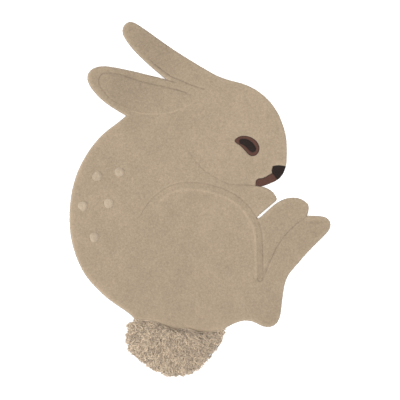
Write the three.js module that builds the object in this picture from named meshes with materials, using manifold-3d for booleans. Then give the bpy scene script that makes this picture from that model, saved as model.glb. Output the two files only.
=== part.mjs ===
// A child's floor rug in the shape of a curled-up rabbit seen from the side, lying flat.
// Hand-tufted wool: one piece of short cut pile with carved lines, yarn of other colours for
// the eye, nose and mouth, five raised dots on the back, and a tail of long shag.
// Millimetres, +Z up, +Y towards the ears. The origin is under the middle of the rug.

import * as THREE from "three";
import { mergeVertices } from "three/addons/utils/BufferGeometryUtils.js";
import Module from "manifold-3d";

const wasm = await Module();
wasm.setup();

// Heights above the floor, and the clearance between neighbouring pieces
const PILE_TOP = 14;
const BACKING = 3;
const GAP = 0.3;

// The short pile rounds over at the rim of the rug
const RIM_ROUND = 4.5;
const RIM_STEPS = 3;

// How finely curves are cut into straight steps
const OUTLINE_STEP = 15;
const INLAY_STEP = 8;
const TURN_STEP = 14 * THREE.MathUtils.DEG2RAD;

// Carved lines: a V-shaped cut made with the clipper
const LINE_WIDTH = 7;
const LINE_DEPTH = 5;
const LINE_STEP = 16;
const LINE_FADE = 0.22; // share of a line's length over which a fading end comes up
const CUT_RISE = 2; // how far every cutting body stands above the pile

// The channel round the haunch: deep at its outer side, then a flat floor, then a shoulder
const CHANNEL_WIDTH = 20;
const CHANNEL_FLOOR = 3.2;
const CHANNEL_WALL = 3; // width of the deep cut at the outer side
const CHANNEL_SHOULDER = 4; // width of the slope at the haunch side
const CHANNEL_END_SIDES = 16;

// Raised dots on the back, and their dome as shares of the radius and of the rise
const DOT_RADIUS = 16;
const DOT_RISE = 5; // crown of a dot above the short pile
const DOT_SIDES = 22;
const DOT_DOME = [
  { out: 1, rise: 0.3 },
  { out: 0.9, rise: 0.66 },
  { out: 0.66, rise: 0.9 },
  { out: 0.34, rise: 1 },
];

// Shag tail
const SHAG_TOP = 27; // usual height of the shag
const SHAG_RIM = 11; // height of the shag slab at its edge, before the locks
const SHAG_CELL = 11; // grid on which the lumps are raised
const SHAG_FADE = 0.36; // share of the slab over which it comes down to its rim
const SEAM_FADE = 30; // and the width over which it comes down to the short pile at the seam
const TAIL_CENTRE = { x: -86, y: -470 };

// Lumps of the shag: combed tufts, and a slower swell under them that mixes two slopes
const LUMP_ACROSS = 42; // from one tuft to the next along the seam
const LUMP_OUT = 64; // and outwards from it
const TUFTS = { height: 2.9, sway: 1.4, slant: 0.25 };
const SWELL = { height: 2.2, across: [0.45, 0.3], out: [0.8, -0.7] };
const LUMPS_AT_RIM = 0.3; // share of the lumps that is left at the rim

// Locks round the rim of the tail: how far they reach past the slab, how wide they are, how
// high they leave it, and how deep their roots sit in it
const LOCK_TIERS = [
  { tier: "lower", locks: 58, reach: 12, width: 15, height: 9, root: 9, lean: 0.3 },
  { tier: "upper", locks: 47, reach: 6.5, width: 13, height: 15, root: 11, lean: 0.4 },
];
const LOCK_TIP = { width: 3.2, height: 1.6 };
const LOCK_TAPER = { width: 1.5, height: 1.2 };
const LOCK_SPREAD = { place: 0.3, reach: 0.22, sway: 3 };

// Each row of an outline or line: what is there, its place, and the heading of the edge at
// that place in degrees from +X towards +Y. A corner has a second heading, for the edge
// that leaves it. Outlines run anticlockwise.
const HEAD = [
  { at: "muzzle", x: 293, y: 154, heading: 89 },
  { at: "bridge of the nose", x: 290, y: 214, heading: 99 },
  { at: "forehead", x: 273, y: 271, heading: 111 },
  { at: "crown", x: 243, y: 323, heading: 128 },
  { at: "back of the crown", x: 200, y: 364, heading: 143 },
  { at: "brow", x: 147, y: 391, heading: 161 },
  { at: "dip before the ears", x: 89, y: 407, heading: 163 },
];
const UPPER_EAR = [
  { at: "root, back edge", x: 35, y: 431, heading: 150 },
  { at: "middle, back edge", x: -92, y: 509, heading: 147 },
  { at: "shoulder of the tip", x: -208, y: 590, heading: 148 },
  { at: "tip", x: -242, y: 599.5, heading: 200 },
  { at: "tip, front edge", x: -260, y: 577, heading: 262 },
  { at: "front edge", x: -239, y: 526, heading: -54 },
  { at: "middle, front edge", x: -177, y: 461, heading: -43 },
  { at: "crotch between the ears", x: -109, y: 404.5, heading: -38, then: 163 },
];
const LOWER_EAR = [
  { at: "top edge", x: -189, y: 425, heading: 166 },
  { at: "top edge near the tip", x: -290, y: 447, heading: 170 },
  { at: "shoulder of the tip", x: -342, y: 449.5, heading: 190 },
  { at: "tip", x: -379, y: 415, heading: 268 },
  { at: "under edge near the tip", x: -356, y: 365, heading: -50 },
  { at: "under edge", x: -312, y: 324, heading: -36 },
  { at: "neck", x: -248, y: 284, heading: -31, then: -141 },
];
const BACK = [
  { at: "nape", x: -307, y: 238, heading: -143 },
  { at: "shoulders", x: -351, y: 196, heading: -130 },
  { at: "upper back", x: -400, y: 121, heading: -117 },
  { at: "widest part of the back", x: -439.5, y: -62, heading: -90 },
  { at: "lower back", x: -424, y: -169, heading: -73 },
  { at: "rump", x: -387, y: -251, heading: -57 },
  { at: "low rump", x: -327, y: -318, heading: -43 },
  { at: "above the tail", x: -236, y: -385, heading: -37 },
];
const TAIL_SEAM = [
  { at: "nick beside the tail", x: -221, y: -402, heading: -62, then: -2 },
  { at: "left slope", x: -157, y: -409, heading: -13 },
  { at: "first dip", x: -78, y: -437, heading: -6 },
  { at: "rise", x: -44, y: -431, heading: -6 },
  { at: "second dip", x: -6, y: -444, heading: -4 },
  { at: "end of the seam", x: 76, y: -436, heading: 16 },
];
const HIND_LEG = [
  { at: "under the thigh", x: 108, y: -420, heading: 24 },
  { at: "hollow before the heel", x: 152, y: -407, heading: 4 },
  { at: "slope to the heel", x: 194, y: -417, heading: -27 },
  { at: "heel, underside", x: 227, y: -428.5, heading: -3 },
  { at: "heel", x: 259, y: -415, heading: 52 },
  { at: "back of the heel", x: 273, y: -375, heading: 83 },
  { at: "sole, near the heel", x: 281, y: -313, heading: 82 },
  { at: "bend of the sole", x: 297, y: -256, heading: 61 },
  { at: "sole", x: 335, y: -209, heading: 51 },
  { at: "sole, near the toe", x: 418, y: -121.5, heading: 45 },
  { at: "long toe", x: 440.5, y: -84, heading: 89 },
  { at: "top of the long toe", x: 414, y: -56.5, heading: 172 },
  { at: "notch between the toes", x: 361, y: -54, heading: 181, then: 73 },
  { at: "short toe", x: 367, y: -24, heading: 96 },
  { at: "top of the short toe", x: 342, y: 2, heading: 154 },
  { at: "instep", x: 311, y: 7, heading: 181 },
  { at: "top of the foot", x: 283, y: 1.5, heading: 200 },
  { at: "mouth of the slot", x: 257, y: -13, heading: 217 },
];
const FOREPAW = [
  { at: "slot, foot side", x: 202, y: -61, heading: 221 },
  { at: "end of the slot", x: 193.5, y: -60, heading: 128 },
  { at: "slot, paw side", x: 197, y: -53, heading: 42 },
  { at: "under the paw tip", x: 250, y: -8, heading: 41 },
  { at: "paw tip", x: 258.5, y: 5, heading: 106 },
  { at: "knuckle", x: 243, y: 29, heading: 138 },
  { at: "where the chin rests", x: 208, y: 45.5, heading: 162, then: 14 },
];
const CHIN = [
  { at: "chin", x: 242, y: 57.5, heading: 25 },
  { at: "under the nose", x: 268, y: 72, heading: 43 },
  { at: "front of the nose", x: 286, y: 99, heading: 68 },
];
const RABBIT = [
  ...HEAD,
  ...UPPER_EAR,
  ...LOWER_EAR,
  ...BACK,
  ...TAIL_SEAM,
  ...HIND_LEG,
  ...FOREPAW,
  ...CHIN,
];

// The tail's slab without its locks. Its upper side runs under the rump and is cut away there.
const TAIL = [
  { at: "left end of the seam", x: -223, y: -409, heading: 202 },
  { at: "left side", x: -242, y: -440, heading: -95 },
  { at: "lower left side", x: -238, y: -492, heading: -77 },
  { at: "lower left", x: -208, y: -526, heading: -42 },
  { at: "left of the bottom", x: -137, y: -572, heading: -29 },
  { at: "bottom", x: -80, y: -586, heading: 3 },
  { at: "right of the bottom", x: -15, y: -565, heading: 39 },
  { at: "lower right", x: 47, y: -501, heading: 52 },
  { at: "right side", x: 76, y: -450, heading: 76 },
  { at: "right end of the seam", x: 70, y: -418, heading: 178 },
  { at: "under the rump", x: -70, y: -395, heading: 179 },
];

const EYE_RIM = [
  { at: "inner corner", x: 118.5, y: 199, heading: -82 },
  { at: "lower lid, inner", x: 131, y: 187.5, heading: -36 },
  { at: "lower lid", x: 157, y: 161.5, heading: -51 },
  { at: "lower outer side", x: 178, y: 148.5, heading: 0 },
  { at: "outer side", x: 200.5, y: 172, heading: 88 },
  { at: "upper lid, outer", x: 187, y: 201.5, heading: 138 },
  { at: "upper lid", x: 150, y: 216, heading: 178 },
  { at: "inner corner, top", x: 121, y: 205, heading: 228 },
];
const EYE_MIDDLE = [
  { at: "inner corner", x: 134, y: 197, heading: -90 },
  { at: "inner corner, bottom", x: 137.5, y: 190.5, heading: -30 },
  { at: "lower edge, inner", x: 147, y: 186.5, heading: -32 },
  { at: "lower edge", x: 156.5, y: 179.5, heading: -47 },
  { at: "lower edge, outer", x: 168, y: 167, heading: -42 },
  { at: "lowest side", x: 179.5, y: 162, heading: 8 },
  { at: "outer side", x: 188.5, y: 171, heading: 92 },
  { at: "upper edge, outer", x: 173, y: 195.5, heading: 139 },
  { at: "upper edge", x: 151, y: 205.5, heading: 178 },
  { at: "inner corner, top", x: 138, y: 203.5, heading: 212 },
];
// The nose and the mouth run out past the rim here, and are cut off along it.
const NOSE = [
  { at: "upper corner", x: 246.5, y: 113, heading: 200, then: 260 },
  { at: "back of the nose", x: 243.5, y: 99, heading: -88 },
  { at: "meets the mouth", x: 246, y: 89.5, heading: -42 },
  { at: "lower corner", x: 261, y: 71, heading: -58 },
  { at: "past the rim, low", x: 285, y: 52, heading: -10, then: 60 },
  { at: "past the rim, high", x: 306, y: 110, heading: 90, then: 170 },
  { at: "upper edge", x: 264, y: 116.5, heading: 180 },
];
const MOUTH = [
  { at: "upper edge at the nose", x: 248, y: 92, heading: 205, then: 205 },
  { at: "upper edge", x: 224, y: 78.5, heading: 210 },
  { at: "corner of the mouth", x: 203, y: 72.5, heading: 180 },
  { at: "rounded end", x: 189.5, y: 62, heading: -102 },
  { at: "where the chin rests", x: 189, y: 48, heading: -88, then: -8 },
  { at: "end of the chin", x: 207, y: 45.5, heading: -8 },
  { at: "past the rim, left", x: 235, y: 45, heading: 0 },
  { at: "past the rim, right", x: 268, y: 54, heading: 35, then: 95 },
];

// Carved lines. A fading end comes up to the top of the pile; the others stay deep.
const CARVED_LINES = [
  {
    line: "inner ear, upper side",
    fades: { start: false, end: true },
    rows: [
      { at: "turn at the tip", x: -341, y: 400, heading: 88 },
      { at: "shoulder", x: -318, y: 429, heading: 4 },
      { at: "middle", x: -192, y: 398.5, heading: -15 },
      { at: "root", x: -80, y: 373, heading: -15 },
      { at: "end on the head", x: -14, y: 348.5, heading: -23 },
    ],
  },
  {
    line: "inner ear, lower side",
    fades: { start: false, end: true },
    rows: [
      { at: "turn at the tip", x: -341, y: 404, heading: -90 },
      { at: "near the tip", x: -316, y: 357, heading: -52 },
      { at: "middle", x: -232, y: 307, heading: -24 },
      { at: "lowest", x: -150, y: 294, heading: 1 },
      { at: "rise to the head", x: -66, y: 311, heading: 24 },
      { at: "end on the head", x: -14, y: 340, heading: 38 },
    ],
  },
  {
    line: "fold of the upper ear",
    fades: { start: true, end: false },
    rows: [
      { at: "along the ear", x: -182, y: 487, heading: -47 },
      { at: "nearing the head", x: -104, y: 422, heading: -36 },
      { at: "on the head", x: -61, y: 402, heading: -25 },
      { at: "end on the head", x: 15, y: 374, heading: -16 },
    ],
  },
  {
    line: "crease from the crotch of the ears",
    fades: { start: false, end: true },
    rows: [
      { at: "crotch", x: -119, y: 407, heading: -16 },
      { at: "end", x: -76, y: 396, heading: -13 },
    ],
  },
  {
    line: "jaw",
    fades: { start: false, end: true },
    rows: [
      { at: "corner of the mouth", x: 191, y: 49, heading: 176 },
      { at: "under the cheek", x: 120, y: 52, heading: 177 },
      { at: "cheek", x: 51, y: 77, heading: 148 },
      { at: "behind the cheek", x: 2, y: 113, heading: 132 },
      { at: "end", x: -45, y: 178, heading: 122 },
    ],
  },
  {
    line: "between the hind feet",
    fades: { start: false, end: true },
    rows: [
      { at: "notch between the toes", x: 366, y: -49, heading: 225 },
      { at: "between the toes", x: 320, y: -87, heading: 221 },
      { at: "arch of the foot", x: 270, y: -144, heading: 236 },
      { at: "low foot", x: 236, y: -211, heading: 246 },
      { at: "end", x: 214, y: -272, heading: 252 },
    ],
  },
];

// Outer side of the channel that sets the haunch apart, from the flank round to the heel
const HAUNCH_CHANNEL = [
  { at: "fades into the flank", x: -206, y: -72, heading: 76 },
  { at: "flank", x: -178, y: -17, heading: 53 },
  { at: "rising over the haunch", x: -110, y: 43, heading: 28 },
  { at: "top of the haunch", x: -28, y: 60, heading: -1 },
  { at: "knee side", x: 58, y: 45, heading: -16 },
  { at: "knee", x: 134, y: 8, heading: -38 },
  { at: "beside the slot", x: 192, y: -60, heading: -62 },
  { at: "shin", x: 211, y: -130, heading: -87 },
  { at: "low shin", x: 213.5, y: -266, heading: -90 },
];

const BACK_DOTS = [
  { dot: "upper left", x: -346, y: 80, turn: 20, squash: 0.94 },
  { dot: "upper right", x: -271, y: 94, turn: -35, squash: 0.9 },
  { dot: "middle left", x: -394, y: -20, turn: 70, squash: 0.95 },
  { dot: "middle right", x: -307, y: -11, turn: 5, squash: 0.96 },
  { dot: "lower", x: -356, y: -126, turn: 50, squash: 0.92 },
];

// Yarns
const SAND_WOOL = { color: 0xb8a68e, roughness: 0.96, metalness: 0 };
const SAND_SHAG = { color: 0xb7a692, roughness: 0.94, metalness: 0 };
const BROWN_WOOL = { color: 0x6a4b41, roughness: 0.95, metalness: 0 };
const BLACK_WOOL = { color: 0x352b2b, roughness: 0.95, metalness: 0 };

// A smooth run of curves through the rows of a table. Each curve holds its headings as far
// as a circular arc between the same places would.
function curvesThrough(rows, closed) {
  const path = new THREE.Path();
  path.moveTo(rows[0].x, rows[0].y);
  const curveCount = closed ? rows.length : rows.length - 1;
  for (let i = 0; i < curveCount; i += 1) {
    const from = rows[i];
    const to = rows[(i + 1) % rows.length];
    const leave = THREE.MathUtils.degToRad(from.then ?? from.heading);
    const arrive = THREE.MathUtils.degToRad(to.heading);
    const across = new THREE.Vector2(to.x - from.x, to.y - from.y);
    const third = across.length() / 3;
    const hold = third / Math.cos((leave - across.angle()) / 2) ** 2;
    const meet = third / Math.cos((arrive - across.angle()) / 2) ** 2;
    path.bezierCurveTo(
      from.x + hold * Math.cos(leave),
      from.y + hold * Math.sin(leave),
      to.x - meet * Math.cos(arrive),
      to.y - meet * Math.sin(arrive),
      to.x,
      to.y,
    );
  }
  return path;
}

// The outline of a table's rows as a shape of straight steps, shorter where it turns fast.
function outlineShape(rows, step) {
  const points = [];
  for (const curve of curvesThrough(rows, true).curves) {
    const middle = curve.getTangent(0.5);
    const turned = curve.getTangent(0).angleTo(middle) + middle.angleTo(curve.getTangent(1));
    const steps = Math.ceil(Math.max(curve.getLength() / step, turned / TURN_STEP, 1));
    points.push(...curve.getSpacedPoints(steps).slice(0, -1));
  }
  return new THREE.Shape(points);
}

function solidOf(geometry) {
  const bare = geometry.index ? geometry.toNonIndexed() : geometry.clone();
  bare.deleteAttribute("normal");
  bare.deleteAttribute("uv");
  const merged = mergeVertices(bare, 1e-4);
  return new wasm.Manifold(
    new wasm.Mesh({
      numProp: 3,
      vertProperties: new Float32Array(merged.attributes.position.array),
      triVerts: new Uint32Array(merged.index.array),
    }),
  );
}

function geometryOf(solid) {
  const mesh = solid.getMesh();
  const geometry = new THREE.BufferGeometry();
  geometry.setAttribute("position", new THREE.BufferAttribute(mesh.vertProperties, 3));
  geometry.setIndex(new THREE.BufferAttribute(mesh.triVerts, 1));
  geometry.computeVertexNormals();
  return geometry;
}

function union(solids) {
  return solids.reduce((whole, next) => whole.add(next));
}

// An upright block with the given outline, grown by a clearance, between two heights.
function uprightBlock(shape, low, high, clearance = 0) {
  const block = new THREE.ExtrudeGeometry(shape, {
    depth: high - low,
    bevelEnabled: true,
    bevelSegments: 0,
    bevelThickness: 0,
    bevelSize: 0,
    bevelOffset: clearance,
  });
  block.translate(0, 0, low);
  return solidOf(block);
}

// Everything below the floor, to cut the slab level where it rests.
function belowFloor() {
  const width = 2000;
  const depth = 2 * RIM_ROUND;
  return solidOf(new THREE.BoxGeometry(width, width, depth).translate(0, 0, -depth / 2));
}

// The rabbit as a plain slab of pile, rounded over along its rim and flat underneath.
function rabbitSlab() {
  const slab = new THREE.ExtrudeGeometry(outlineShape(RABBIT, OUTLINE_STEP), {
    depth: PILE_TOP - RIM_ROUND,
    bevelEnabled: true,
    bevelSegments: RIM_STEPS,
    bevelThickness: RIM_ROUND,
    bevelSize: RIM_ROUND,
    bevelOffset: -RIM_ROUND,
  });
  return solidOf(slab).subtract(belowFloor());
}

// The way a cutter takes along a line: at the top of the pile, and lifted out at fading ends.
class CutterWay extends THREE.Curve {
  constructor(rows, fades, depth) {
    super();
    this.flatWay = curvesThrough(rows, false);
    this.fades = fades;
    this.depth = depth;
  }

  getPoint(share) {
    const place = this.flatWay.getPointAt(share);
    const fromStart = this.fades.start ? THREE.MathUtils.smoothstep(share, 0, LINE_FADE) : 1;
    const fromEnd = this.fades.end ? THREE.MathUtils.smoothstep(1 - share, 0, LINE_FADE) : 1;
    const lift = this.depth * (1 - fromStart * fromEnd);
    return new THREE.Vector3(place.x, place.y, PILE_TOP + lift);
  }
}

// A cutter of the given section run along a line. The section's rows give a depth below the
// top of the pile and how far to the left of the line that corner lies.
function cutAlong(rows, fades, depth, section) {
  const way = new CutterWay(rows, fades, depth);
  const corners = section.map(({ below, left }) => new THREE.Vector2(below, left));
  const cutter = new THREE.ExtrudeGeometry(new THREE.Shape(corners), {
    extrudePath: way,
    steps: Math.ceil(way.getLength() / LINE_STEP),
  });
  return solidOf(cutter);
}

function carvedLine({ rows, fades }) {
  const halfWidth = ((LINE_WIDTH / 2) * (LINE_DEPTH + CUT_RISE)) / LINE_DEPTH;
  return cutAlong(rows, fades, LINE_DEPTH, [
    { below: -CUT_RISE, left: -halfWidth },
    { below: LINE_DEPTH, left: 0 },
    { below: -CUT_RISE, left: halfWidth },
  ]);
}

// The channel's outer side is its deepest line, and it has a round end beside the shin.
function haunchChannel() {
  const end = HAUNCH_CHANNEL.at(-1);
  const roundEnd = new THREE.CylinderGeometry(
    CHANNEL_WIDTH / 2,
    CHANNEL_WIDTH / 2 - CHANNEL_WALL / 2,
    CHANNEL_FLOOR + CUT_RISE,
    CHANNEL_END_SIDES,
  )
    .rotateX(Math.PI / 2)
    .translate(end.x - CHANNEL_WIDTH / 2, end.y, PILE_TOP + (CUT_RISE - CHANNEL_FLOOR) / 2);
  const channel = cutAlong(HAUNCH_CHANNEL, { start: true, end: false }, LINE_DEPTH, [
    { below: -CUT_RISE, left: CHANNEL_WALL },
    { below: 0, left: CHANNEL_WALL / 2 },
    { below: LINE_DEPTH, left: 0 },
    { below: CHANNEL_FLOOR, left: -CHANNEL_WALL },
    { below: CHANNEL_FLOOR, left: CHANNEL_SHOULDER - CHANNEL_WIDTH },
    { below: 0, left: -CHANNEL_WIDTH },
    { below: -CUT_RISE, left: -CHANNEL_WIDTH - 1 },
  ]);
  return channel.add(solidOf(roundEnd));
}

// Yarn areas that go through the pile down to the backing: each fills its own pocket.
const inlayShapes = {
  eyeRim: outlineShape(EYE_RIM, INLAY_STEP),
  eyeMiddle: outlineShape(EYE_MIDDLE, INLAY_STEP),
  nose: outlineShape(NOSE, INLAY_STEP),
  mouth: outlineShape(MOUTH, INLAY_STEP),
};

function pocket(shape) {
  return uprightBlock(shape, BACKING, PILE_TOP + CUT_RISE, GAP);
}

function inlay(shape) {
  return uprightBlock(shape, BACKING + GAP, PILE_TOP + CUT_RISE);
}

// A dot is a dome of longer pile on a straight stem that reaches down to the backing. With
// no dome it is a plain stem, which cuts the dot's pocket.
function backDot({ x, y, turn, squash }, clearance, dome) {
  const radius = DOT_RADIUS + clearance;
  const foot = BACKING + GAP - clearance;
  const upper = dome ?? [{ out: 1, rise: 1 }];
  const profile = [
    new THREE.Vector2(0, foot),
    new THREE.Vector2(radius, foot),
    ...upper.map(({ out, rise }) => new THREE.Vector2(out * radius, PILE_TOP + rise * DOT_RISE)),
    new THREE.Vector2(0, PILE_TOP + DOT_RISE),
  ];
  const dot = new THREE.LatheGeometry(profile, DOT_SIDES)
    .rotateX(Math.PI / 2)
    .scale(1, squash, 1)
    .rotateZ(THREE.MathUtils.degToRad(turn))
    .translate(x, y, 0);
  return solidOf(dot);
}

// A repeatable scatter between -1 and 1 for the locks of the shag.
function scatter(index, salt) {
  const wave = Math.sin(index * 12.9898 + salt * 78.233) * 43758.5453;
  return 2 * (wave - Math.floor(wave)) - 1;
}

// Where a ray from the tail's centre meets the slab's edge.
function tailEdge() {
  const edge = outlineShape(TAIL, INLAY_STEP).getPoints();
  return (angle) => {
    const ray = new THREE.Vector2(Math.cos(angle), Math.sin(angle));
    for (let i = 0; i < edge.length; i += 1) {
      const a = edge[i].clone().sub(TAIL_CENTRE);
      const b = edge[(i + 1) % edge.length].clone().sub(TAIL_CENTRE);
      const sideA = ray.cross(a);
      const sideB = ray.cross(b);
      const along = a.lerp(b, sideA / (sideA - sideB)).dot(ray);
      if (sideA * sideB <= 0 && sideA !== sideB && along > 0) return along;
    }
    throw new Error("no edge that way");
  };
}

// How far below the line between the seam's two ends a place lies.
function belowSeam(x, y) {
  const left = TAIL_SEAM.at(0);
  const right = TAIL_SEAM.at(-1);
  const slope = (right.y - left.y) / (right.x - left.x);
  return left.y + slope * (x - left.x) - y;
}

// The shag's height: lumps that lie as combed tufts do, longer outwards than across, lower
// towards the rim, and level with the short pile at the seam.
function shagHeight(x, y, share) {
  const across = (2 * Math.PI * x) / LUMP_ACROSS;
  const out = (2 * Math.PI * y) / LUMP_OUT;
  const tufts = Math.sin(across + TUFTS.sway * Math.sin(out)) * Math.cos(out + TUFTS.slant * across);
  const swell =
    Math.sin(SWELL.across[0] * across + SWELL.out[0] * out) *
    Math.cos(SWELL.across[1] * across + SWELL.out[1] * out);
  const rimRise = THREE.MathUtils.smoothstep(1 - share, 0, SHAG_FADE);
  const plain = THREE.MathUtils.lerp(SHAG_RIM, SHAG_TOP, rimRise);
  const lumps = TUFTS.height * tufts + SWELL.height * swell;
  const awayFromSeam = THREE.MathUtils.smoothstep(belowSeam(x, y), 0, SEAM_FADE);
  const seamHeight = THREE.MathUtils.lerp(PILE_TOP, plain, awayFromSeam);
  return Math.min(plain, seamHeight) + lumps * THREE.MathUtils.lerp(LUMPS_AT_RIM, 1, rimRise);
}

// The lumpy slab: a block whose top is raised to the shag's height on an even grid, cut to
// the tail's outline.
function shagSlab(edgeAt) {
  const shape = outlineShape(TAIL, INLAY_STEP);
  const extent = new THREE.Box2().setFromPoints(shape.getPoints()).expandByScalar(SHAG_CELL);
  const size = extent.getSize(new THREE.Vector2());
  const centre = extent.getCenter(new THREE.Vector2());
  const cellsAcross = Math.round(size.x / SHAG_CELL);
  const cellsOut = Math.round(size.y / SHAG_CELL);
  const block = new THREE.BoxGeometry(size.x, size.y, 2, cellsAcross, cellsOut, 1);
  block.translate(centre.x, centre.y, 0);
  const points = block.attributes.position;
  for (let i = 0; i < points.count; i += 1) {
    const fromCentre = new THREE.Vector2(points.getX(i), points.getY(i)).sub(TAIL_CENTRE);
    const share = Math.min(1, fromCentre.length() / edgeAt(fromCentre.angle()));
    const top = shagHeight(points.getX(i), points.getY(i), share);
    points.setZ(i, points.getZ(i) > 0 ? top : 0);
  }
  return solidOf(block).intersect(uprightBlock(shape, -1, 2 * SHAG_TOP));
}

// One four-sided lock that lies level on the floor and tapers from its root to its tip.
function lock(place, heading, { reach, width, height, root }, sway) {
  const whole = reach + root;
  const body = new THREE.BoxGeometry(1, 1, 1, 2, 1, 1).translate(0.5, 0, 0.5);
  const points = body.attributes.position;
  for (let i = 0; i < points.count; i += 1) {
    const along = points.getX(i);
    const wide = THREE.MathUtils.lerp(width, LOCK_TIP.width, along ** LOCK_TAPER.width);
    const high = THREE.MathUtils.lerp(height, LOCK_TIP.height, along ** LOCK_TAPER.height);
    points.setX(i, along * whole - root);
    points.setY(i, points.getY(i) * wide + sway * along ** 2);
    points.setZ(i, points.getZ(i) * high);
  }
  body.rotateZ(heading).translate(place.x, place.y, 0);
  return solidOf(body);
}

function rimLocks(edgeAt, tier, salt) {
  const made = [];
  for (let i = 0; i < tier.locks; i += 1) {
    const angle = (2 * Math.PI * (i + LOCK_SPREAD.place * scatter(i, salt))) / tier.locks;
    const out = edgeAt(angle);
    const place = {
      x: TAIL_CENTRE.x + out * Math.cos(angle),
      y: TAIL_CENTRE.y + out * Math.sin(angle),
    };
    const heading = angle + tier.lean * scatter(i, salt + 1);
    const reach = tier.reach * (1 + LOCK_SPREAD.reach * scatter(i, salt + 2));
    made.push(lock(place, heading, { ...tier, reach }, LOCK_SPREAD.sway * scatter(i, salt + 3)));
  }
  return made;
}

// The shag tail, with the rabbit's body and its clearance cut out of it.
function tail() {
  const edgeAt = tailEdge();
  const locks = LOCK_TIERS.flatMap((tier, index) => rimLocks(edgeAt, tier, 10 * index + 1));
  const body = uprightBlock(outlineShape(RABBIT, OUTLINE_STEP), -1, 2 * SHAG_TOP, GAP);
  return union([shagSlab(edgeAt), ...locks]).subtract(body);
}

function mesh(name, solid, yarn) {
  const piece = new THREE.Mesh(geometryOf(solid), new THREE.MeshStandardMaterial(yarn));
  piece.name = name;
  return piece;
}

// The largest body of a solid: a cut may leave crumbs beside it.
function largest(solid) {
  return solid.decompose().reduce((a, b) => (a.volume() > b.volume() ? a : b));
}

const slab = rabbitSlab();

const pileGround = slab.subtract(
  union([
    ...CARVED_LINES.map(carvedLine),
    haunchChannel(),
    pocket(inlayShapes.eyeRim),
    pocket(inlayShapes.nose),
    pocket(inlayShapes.mouth),
    ...BACK_DOTS.map((dot) => backDot(dot, GAP)),
  ]),
);

const rug = new THREE.Group();
rug.add(mesh("pile_ground", pileGround, SAND_WOOL));
rug.add(
  mesh(
    "eye_rim",
    slab.intersect(inlay(inlayShapes.eyeRim)).subtract(pocket(inlayShapes.eyeMiddle)),
    BROWN_WOOL,
  ),
);
rug.add(mesh("eye_middle", slab.intersect(inlay(inlayShapes.eyeMiddle)), BLACK_WOOL));
rug.add(mesh("nose", slab.intersect(inlay(inlayShapes.nose)), BLACK_WOOL));
rug.add(
  mesh(
    "mouth",
    largest(slab.intersect(inlay(inlayShapes.mouth)).subtract(pocket(inlayShapes.nose))),
    BROWN_WOOL,
  ),
);
BACK_DOTS.forEach((dot, index) => {
  rug.add(mesh(`back_dot_${index + 1}`, backDot(dot, 0, DOT_DOME), SAND_WOOL));
});
rug.add(mesh("tail", tail(), SAND_SHAG));

// The rug's frame stands under the middle of its footprint.
const middle = new THREE.Box3().setFromObject(rug).getCenter(new THREE.Vector3());
rug.position.set(-middle.x, -middle.y, 0);

export default rug;
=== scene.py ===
# A child's floor rug in the shape of a curled-up rabbit, hand-tufted in sand coloured wool:
# short cut pile with carved lines, brown and near-black yarn for the face, raised dots on
# the back, and a tail of long shag. Outlines, heights and carved lines come from the frame.

import math

import bpy
import numpy as np
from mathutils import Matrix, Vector, noise
from mathutils.bvhtree import BVHTree
from mathutils.geometry import delaunay_2d_cdt
from mathutils.kdtree import KDTree


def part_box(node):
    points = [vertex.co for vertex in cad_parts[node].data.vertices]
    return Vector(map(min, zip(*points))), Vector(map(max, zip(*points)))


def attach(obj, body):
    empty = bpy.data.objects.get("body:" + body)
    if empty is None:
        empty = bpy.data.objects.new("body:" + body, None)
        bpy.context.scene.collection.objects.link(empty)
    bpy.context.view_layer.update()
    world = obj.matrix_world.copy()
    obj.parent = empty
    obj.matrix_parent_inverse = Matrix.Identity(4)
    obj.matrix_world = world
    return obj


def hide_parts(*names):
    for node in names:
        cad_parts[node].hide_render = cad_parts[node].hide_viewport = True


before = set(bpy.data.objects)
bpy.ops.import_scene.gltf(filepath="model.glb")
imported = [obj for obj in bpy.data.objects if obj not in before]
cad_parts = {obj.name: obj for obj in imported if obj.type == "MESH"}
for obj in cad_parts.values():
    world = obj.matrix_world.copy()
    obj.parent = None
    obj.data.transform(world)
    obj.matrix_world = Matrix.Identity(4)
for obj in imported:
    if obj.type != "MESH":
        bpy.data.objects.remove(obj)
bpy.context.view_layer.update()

MM = 0.001
WELD = 0.001 * MM
TINY = 1e-12
UP = (0.0, 0.0, 1.0)
SEED = 7

# Heights that the frame gives, the levels at which its outlines are taken, and what counts
# there as straight, as a sharp corner and as a face that looks up
PILE_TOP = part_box("pile_ground")[1].z
BACKING_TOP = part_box("eye_rim")[0].z
OUTLINE_LEVEL = 6 * MM
BACKING_LEVEL = 1.5 * MM
STRAIGHT_WITHIN = 0.02 * MM
SHARP_CORNER = math.radians(27)
LOOKS_UP = 0.05

# Tufts of the short pile: how far apart they stand, how uneven their cut tips are, how much
# room they leave each other, where their feet are, and how thin the pile gets
TUFT = 3.0 * MM
TUFT_JITTER = 0.24
TUFT_UNEVEN = 0.16 * MM
TUFT_ROOM = {"rim": 0.9, "rows": 0.6, "grid": 0.72}
ROW_RISE = math.sqrt(3) / 2
PILE_FOOT = BACKING_TOP - 0.3 * MM
THINNEST_PILE = MM
PILE_CLOUDS = [
    {"across": 160 * MM, "height": 0.5 * MM},
    {"across": 50 * MM, "height": 0.3 * MM},
    {"across": 13 * MM, "height": 0.16 * MM},
]

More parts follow.
